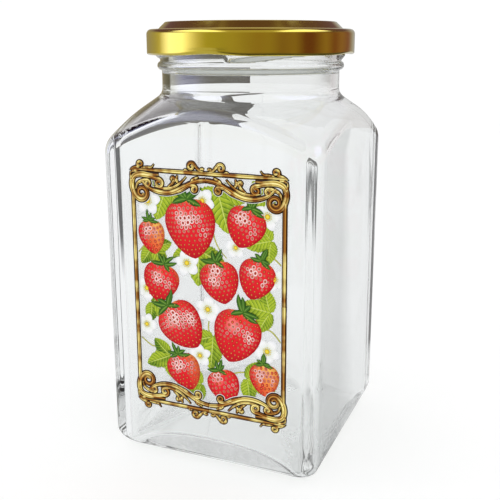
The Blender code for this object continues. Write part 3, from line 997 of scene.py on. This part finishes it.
# Each seed strays a little from its row, by a draw that comes out the same each time.
noise.seed_set(stray_draw)
berry_bm, ring_bm, seed_bm = new_ink(), new_ink(), new_ink()
for number, (x, z, turn, length, full, unripe_share) in enumerate(berries):
    ahead, aside = headings(turn)
    crown = Vector((x, z, 0.0))
    shares = [0.5 - 0.5 * cos(pi * step / berry_steps) for step in range(berry_steps + 1)]
    path = [crown + ahead * length * share for share in shares]
    width = plump(full)
    base = berry_depth + 0.002 * number
    sweep(berry_bm, path, width, base, berry_rise, 12, unripe_share)
    ring_part, seed_part = new_ink(), new_ink()
    seed_rows = round(length / seed_row_gap)
    for row in range(1, seed_rows):
        per_side = max(1, round(width(row / seed_rows) / seed_gap))
        for seat in range(-per_side, per_side + 1):
            bearing = (seat + 0.5 * (row % 2)) / (per_side + 0.6) * seed_spread
            off = sin(bearing)
            if abs(off) > seed_limit:
                continue
            shift = noise.noise_vector(Vector((number * 7.3, row * 1.7, seat * 1.3)))
            along = (row - 0.35 * off**2) / seed_rows
            spot = crown + ahead * (length * along + seed_stray * shift.x)
            spot += aside * (width(along) * off + seed_stray * shift.y)
            depth = base + berry_rise * (1 - off**2) + seed_depth
            narrow = 0.45 + 0.55 * cos(bearing)
            light = lit(off, along, number)
            turned = radians(turn) + pi / 2 + 0.7 * shift.z
            size = (0.46 + 0.34 * light + 0.16 * shift.y) * narrow
            dot(ring_part, spot.x, spot.y, size, depth, 1.15 + 0.3 * shift.x, turned, 12, 1 - light)
            size = (0.20 + 0.08 * light) * narrow
            dot(seed_part, spot.x, spot.y, size, depth + seed_lift, 1.45, turned, 8, 1 - light)
    gather(ring_bm, ring_part)
    gather(seed_bm, seed_part)
printed(berry_bm, "berries", berry_ink)
printed(ring_bm, "seed_highlights", ring_ink)
printed(seed_bm, "seeds", seed_ink)

# ------------------------------------------------
# The crowns: a star of narrow dark green sepals at the top of each berry, printed last of all,
# over the fruit.

sepal_depth = 0.42
sepal_turns = -118, -74, -34, 8, 52, 96

sepal_ink, sepal_shader, place, parts = look_of("sepal_ink", 0.38)
crosswise = maths("ABSOLUTE", parts[0])
sepal_light = ramp(crosswise, [
    (0.0, (0.34, 0.48, 0.08)), (0.18, (0.12, 0.28, 0.020)), (0.7, (0.05, 0.16, 0.010)),
    (1.0, (0.015, 0.06, 0.005)),
])
sepal_dark = ramp(crosswise, [
    (0.0, (0.10, 0.24, 0.05)), (0.2, (0.025, 0.11, 0.015)), (1.0, (0.008, 0.035, 0.006)),
])
paint(sepal_shader, mixed(clouds(place, 1.6), sepal_light, sepal_dark))
bm = new_ink()
for number, (x, z, turn, _, full, _) in enumerate(berries):
    size = full * 0.72
    for sepal, spread in enumerate(sepal_turns):
        lean = spread + 9 * sin(number * 3.1 + sepal * 2.2)
        reach = size * (0.85 + 0.2 * sin(number + sepal * 1.9))
        depth, tone = sepal_depth + 0.006 * sepal, (number * 6 + sepal) * 0.119 % 1
        bend = 0.30 * sin(sepal * 2.7 + number)
        leaf(bm, x, z, turn + 180 + lean, reach, size * 0.17, depth, tone, bend, teeth=2)
printed(bm, "sepals", sepal_ink)

# ------------------------------------------------
# The camera, the table and the light. Plain sight has a white table in even light. Glass and gloss
# see a studio instead: a tall window on the left, a warm brown room on the right, a dark wall
# behind on the left, and a table that ends in the dark behind the jar.

camera_distance = 260.8 * MM
camera_height = 137.5 * MM
camera_side = radians(22.43)
camera_yaw = radians(22.50)
camera_pitch = radians(13.92)
camera_roll = radians(0.09)
table_size = 1.05
table_drop = 0.2 * MM
dark_left, dark_softness = 0.24, 12.0
patch_near, patch_far, patch_slant = 0.12, 0.40, 0.33
patch_sharpness, patch_softness = 25.0, 20.0
shade_from, shade_turn, shade_sharpness = 0.035, radians(38.0), 150.0
open_light = 1.02

right_hand = cos(camera_yaw), sin(camera_yaw), 0.0
level = Vector(right_hand)
forward = Vector((
    -sin(camera_yaw) * cos(camera_pitch), cos(camera_yaw) * cos(camera_pitch), -sin(camera_pitch)
))
down = forward.cross(level)
right = level * cos(camera_roll) + down * sin(camera_roll)
up = level * sin(camera_roll) - down * cos(camera_roll)
lens = bpy.data.cameras.new("camera")
lens.sensor_width = 36.0
lens.lens = 55.06
lens.shift_y = -0.04
lens.clip_start = 0.01
camera = bpy.data.objects.new("camera", lens)
camera.matrix_world = Matrix.Translation(
    (camera_distance * sin(camera_side), -camera_distance * cos(camera_side), camera_height)
) @ Matrix((right, up, -forward)).transposed().to_4x4()
bpy.context.collection.objects.link(camera)
scene = bpy.context.scene
scene.camera = camera
scene.view_settings.view_transform = "Standard"
scene.cycles.max_bounces = 32
scene.cycles.transmission_bounces = 32
scene.cycles.glossy_bounces = 16
scene.cycles.transparent_max_bounces = 32


def component(vector, axis):
    """How far a direction points along an axis."""
    values = vector, axis
    return joined("ShaderNodeVectorMath", range(2), values, operation="DOT_PRODUCT").outputs["Value"]


def grey(value):
    """A colour without hue."""
    return value, value, value


white_table, table_shader, spot = new_look(
    "white_table", {"Roughness": 0.7, "Specular IOR Level": 0.2, "Emission Strength": 1.0}
)
table_path = white_table.node_tree.nodes.new("ShaderNodeLightPath").outputs
surfaces = table_path["Transmission Depth"]
through = maths("MINIMUM", surfaces, 1.0)
by_gloss = clamped("SUBTRACT", table_path["Is Glossy Ray"], through)
leftward = component(spot, (-cos(camera_yaw), -sin(camera_yaw), 0.0))
rearward = component(spot, (-sin(camera_yaw), cos(camera_yaw), 0.0))

# Through one wall of the jar the table ends on the left, and through two walls in a slanted patch.
off_left = clamped("MULTIPLY_ADD", leftward, dark_softness, -dark_softness * dark_left)
off_back = clamped("MULTIPLY_ADD", rearward, dark_softness, 0.2)
one_wall = maths("COMPARE", surfaces, 2.0, 0.5)
two_walls = maths("COMPARE", surfaces, 4.0, 0.5)
table_end = maths("MULTIPLY", one_wall, maths("MULTIPLY", off_left, off_back))
slanted = maths("MULTIPLY_ADD", leftward, -patch_sharpness, -patch_sharpness * patch_near)
slanted = clamped("MULTIPLY_ADD", rearward, -patch_sharpness * patch_slant, slanted)
behind = clamped("MULTIPLY_ADD", rearward, patch_softness, 0.2)
nearer = clamped("MULTIPLY_ADD", leftward, patch_softness, patch_softness * patch_far)
patch = maths("MULTIPLY", slanted, maths("MULTIPLY", behind, nearer))
beyond = maths("MULTIPLY_ADD", patch, two_walls, table_end)

# Seen in gloss, the table turns dark along a slanted line to the left of the jar.
shaded = 0.5 - shade_sharpness * shade_from
shaded = maths("MULTIPLY_ADD", leftward, -shade_sharpness * cos(shade_turn), shaded)
shaded = clamped("MULTIPLY_ADD", rearward, -shade_sharpness * sin(shade_turn), shaded)
# The table also glows with light of its own. This painted light lightens its shadows in plain sight, and
# more so where the table is seen through the glass.
for socket_name, plainly, through_glass, in_gloss, in_shade in (
    ("Base Color", grey(0.58), grey(0.30), grey(0.30), grey(0.04)),
    ("Emission Color", grey(0.46), (0.61, 0.62, 0.63), grey(0.40), grey(0.05)),
):
    direct = mixed(through, plainly, through_glass)
    table = mixed(by_gloss, direct, mixed(shaded, in_gloss, in_shade))
    paint(table_shader, mixed(beyond, table, grey(0.03)), socket_name)

bm = bmesh.new()
bmesh.ops.create_grid(bm, x_segments=1, y_segments=1, size=table_size)
bmesh.ops.translate(bm, verts=bm.verts, vec=(0, 0, -table_drop))
mesh = bpy.data.meshes.new("floor")
bm.to_mesh(mesh)
bm.free()
mesh.materials.append(white_table)
floor = bpy.data.objects.new("floor", mesh)
bpy.context.collection.objects.link(floor)


def all_round(turn, stops):
    """A colour for each compass direction, in degrees to the right of the camera."""
    return ramp(turn, [((degrees + 180) / 360, colour) for degrees, colour in stops])


world = bpy.data.worlds.new("studio")
scene.world = world
world.use_nodes = True
sky_nodes = world.node_tree.nodes
toward = sky_nodes.new("ShaderNodeTexCoord").outputs["Generated"]
sideways = component(toward, right_hand)
frontward = component(toward, (sin(camera_yaw), -cos(camera_yaw), 0.0))
upward = component(toward, (0.0, 0.0, 1.0))
turn = maths("MULTIPLY_ADD", maths("ARCTAN2", sideways, frontward), 1 / (2 * pi), 0.5)

# What stands round the table, as glass lets it through: white walls with two dark places.
behind_walls = all_round(turn, [
    (-180, (0.060, 0.054, 0.048)), (-150, (0.065, 0.058, 0.052)), (-136, (0.05, 0.045, 0.04)),
    (-128, grey(0.8)), (-100, grey(1.1)), (-70, grey(1.2)), (-54, (0.75, 0.76, 0.76)),
    (-8, (0.62, 0.63, 0.62)), (30, (0.60, 0.60, 0.59)), (84, (0.55, 0.55, 0.54)),
    (96, (0.07, 0.07, 0.065)), (120, (0.07, 0.07, 0.065)), (130, grey(0.62)),
    (160, (0.86, 0.87, 0.87)), (180, (0.88, 0.89, 0.90)),
])
overhead = clamped("MULTIPLY_ADD", upward, 7.0, -1.2)
seen_through = mixed(overhead, behind_walls, (0.95, 0.96, 0.97))

# What the gloss mirrors: the window, the brown room, dark beams behind, and skylights to the sides.
front_walls = all_round(turn, [
    (-180, (0.33, 0.27, 0.15)), (-150, (0.38, 0.32, 0.16)), (-128, (0.52, 0.47, 0.22)),
    (-116, (0.68, 0.62, 0.26)), (-108, (1.3, 1.3, 1.4)), (-98, (2.0, 2.1, 3.2)), (-78, (2.1, 2.2, 3.4)),
    (-68, (1.4, 1.4, 1.9)), (-58, (0.85, 0.80, 0.7)), (-48, (0.58, 0.54, 0.2)), (-34, (0.54, 0.50, 0.2)),
    (-20, (0.53, 0.46, 0.2)), (-6, (0.45, 0.365, 0.16)), (7, (0.41, 0.29, 0.13)), (20, (0.42, 0.32, 0.13)),
    (33, (0.31, 0.19, 0.11)), (48, (0.36, 0.24, 0.11)), (60, (0.19, 0.065, 0.06)), (70, (0.20, 0.07, 0.06)),
    (88, (0.40, 0.26, 0.12)), (102, (0.25, 0.09, 0.07)), (116, (0.37, 0.20, 0.11)),
    (132, (0.27, 0.11, 0.09)), (148, (0.42, 0.40, 0.38)), (180, grey(0.50)),
])
off_middle = maths("ABSOLUTE", sideways)
to_sides = clamped("MULTIPLY_ADD", off_middle, 8.0, -1.6)
raised = clamped("MULTIPLY_ADD", upward, 6.0, -1.3)
backwards = clamped("MULTIPLY_ADD", frontward, -5.0, 1.2)
zenith = clamped("MULTIPLY_ADD", upward, 12.0, -10.6)
beams = maths("MULTIPLY", to_sides, maths("MULTIPLY", raised, backwards))
mirrored = mixed(clamped("MULTIPLY_ADD", upward, 5.0, -1.2), front_walls, (0.62, 0.56, 0.40))
mirrored = mixed(maths("MAXIMUM", beams, zenith), mirrored, (0.16, 0.085, 0.12))
far_aside = clamped("MULTIPLY_ADD", off_middle, 6.0, -2.2)
lofty = clamped("MULTIPLY_ADD", upward, 8.0, -3.4)
forwards = clamped("MULTIPLY_ADD", frontward, 8.0, 2.4)
skylights = maths("MULTIPLY", far_aside, maths("MULTIPLY", lofty, forwards))
mirrored = mixed(skylights, mirrored, (2.3, 2.4, 3.5))

# Gloss outside the glass sees the mirrored studio. Plain sight and soft light get the even light.
sky_path = sky_nodes.new("ShaderNodeLightPath").outputs
unrefracted = maths("SUBTRACT", 1.0, sky_path["Transmission Depth"])
first_gloss = clamped("MINIMUM", sky_path["Is Glossy Ray"], unrefracted)
studio = mixed(first_gloss, seen_through, mirrored)
plain = maths("MAXIMUM", sky_path["Is Camera Ray"], sky_path["Is Diffuse Ray"])
plain = clamped("MAXIMUM", plain, sky_path["Diffuse Depth"])
paint(sky_nodes["Background"], mixed(plain, studio, grey(open_light)), "Color")
